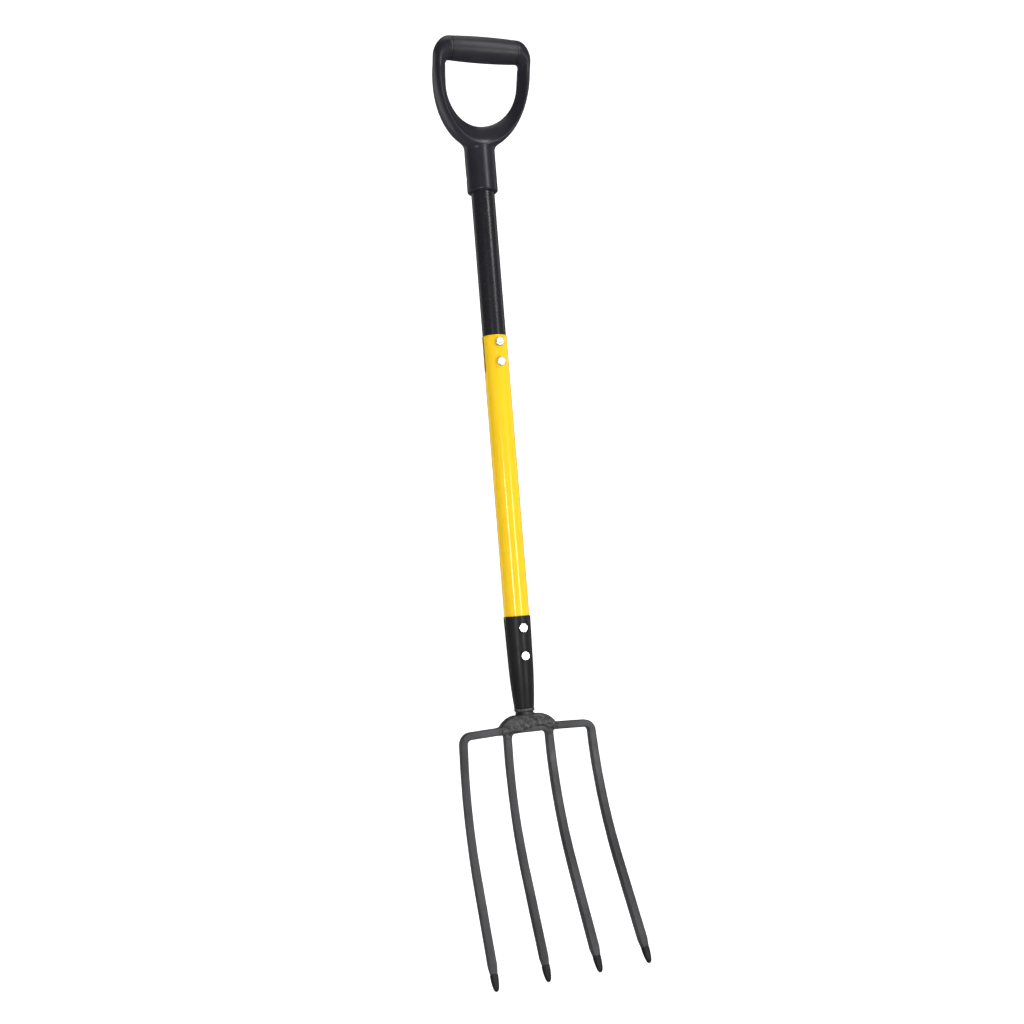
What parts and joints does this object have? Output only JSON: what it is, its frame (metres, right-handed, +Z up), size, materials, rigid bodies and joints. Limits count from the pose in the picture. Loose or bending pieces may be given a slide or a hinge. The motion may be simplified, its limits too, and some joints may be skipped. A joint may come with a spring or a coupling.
{
  "type": "digging fork",
  "caption": "Garden digging fork with a moulded D-handle, a bolted two-piece tubular steel shaft and a welded head of square-bar tines with rubber tip caps",
  "frame": {"origin": "on the shaft's axis at the rim of the head socket, 401.5 mm above the tine tips", "axes": "+Z up the shaft toward the handle, +X across the head, and the tines curve and the D leans forward to -Y"},
  "size_m": [0.1916, 0.117, 1.0938],
  "materials": {
    "handle_frame": "fine satin moulded plastic, bluish black",
    "grip_sleeve": "satin black plastic sleeve",
    "zinc_fasteners": "bright zinc plate",
    "upper_tube": "gloss black powder coat",
    "lower_tube": "gloss yellow powder coat",
    "head_socket": "satin black coat on rolled sheet",
    "welds": "coated weld bead",
    "forged_head": "satin dark coat over a rough forging",
    "tine_bars": "satin dark grey coat on square bar",
    "tip_caps": "matt black rubber"
  },
  "bodies": {
    "root": {"handle_frame": "handle_frame", "grip_sleeve": "grip_sleeve", "handle_screw": "zinc_fasteners", "upper_tube": "upper_tube", "lower_tube": "lower_tube", "upper_joint_bolts": "zinc_fasteners", "upper_joint_nuts": "zinc_fasteners", "head_socket": "head_socket", "lower_joint_bolts": "zinc_fasteners", "lower_joint_nuts": "zinc_fasteners", "socket_weld": "welds", "head_block": "forged_head", "inner_tine_bar": "tine_bars", "outer_left_tine": "tine_bars", "outer_right_tine": "tine_bars", "tine_welds": "welds", "outer_left_cap": "tip_caps", "inner_left_cap": "tip_caps", "inner_right_cap": "tip_caps", "outer_right_cap": "tip_caps"}
  },
  "joints": []
}
